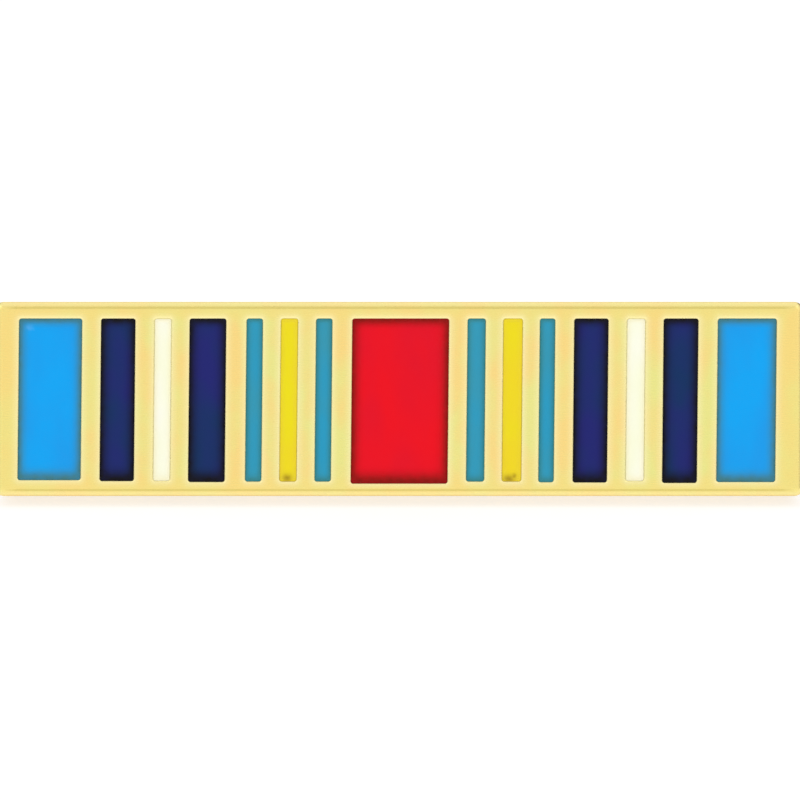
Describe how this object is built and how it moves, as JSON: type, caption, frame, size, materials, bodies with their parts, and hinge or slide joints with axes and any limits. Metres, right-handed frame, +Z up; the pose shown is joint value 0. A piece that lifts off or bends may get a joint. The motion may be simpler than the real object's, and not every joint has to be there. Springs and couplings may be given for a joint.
{
  "type": "enamel ribbon lapel pin",
  "caption": "Slim rectangular lapel pin: gold-plated plate with upright stripes of sunken coloured enamel, and a clutch post on its back; it rests on a table by itself.",
  "frame": {"origin": "on the table, under the middle of the whole part as it rests", "axes": "+X along the plate to the viewer's right, +Y away from the viewer (the enamel faces -Y and a little upwards), +Z up"},
  "size_m": [0.0174, 0.0094, 0.0043],
  "materials": {
    "gold_plate": "pale gold plate over brass, satin-bright walls and rim, plainer back and post",
    "enamel_blue": "soft enamel, glossy, sunken, bright light blue",
    "enamel_navy": "soft enamel, glossy, sunken, dark blue",
    "enamel_white": "soft enamel, glossy, sunken, warm white",
    "enamel_teal": "soft enamel, glossy, sunken, greenish blue",
    "enamel_yellow": "soft enamel, glossy, sunken, lemon yellow",
    "enamel_red": "soft enamel, glossy, sunken, bright red"
  },
  "bodies": {
    "root": {"metal_base": "gold_plate", "enamel_blue_left": "enamel_blue", "enamel_navy_outer_left": "enamel_navy", "enamel_white_left": "enamel_white", "enamel_navy_inner_left": "enamel_navy", "enamel_teal_outer_left": "enamel_teal", "enamel_yellow_left": "enamel_yellow", "enamel_teal_inner_left": "enamel_teal", "enamel_red_middle": "enamel_red", "enamel_teal_inner_right": "enamel_teal", "enamel_yellow_right": "enamel_yellow", "enamel_teal_outer_right": "enamel_teal", "enamel_navy_inner_right": "enamel_navy", "enamel_white_right": "enamel_white", "enamel_navy_outer_right": "enamel_navy", "enamel_blue_right": "enamel_blue"}
  },
  "joints": []
}
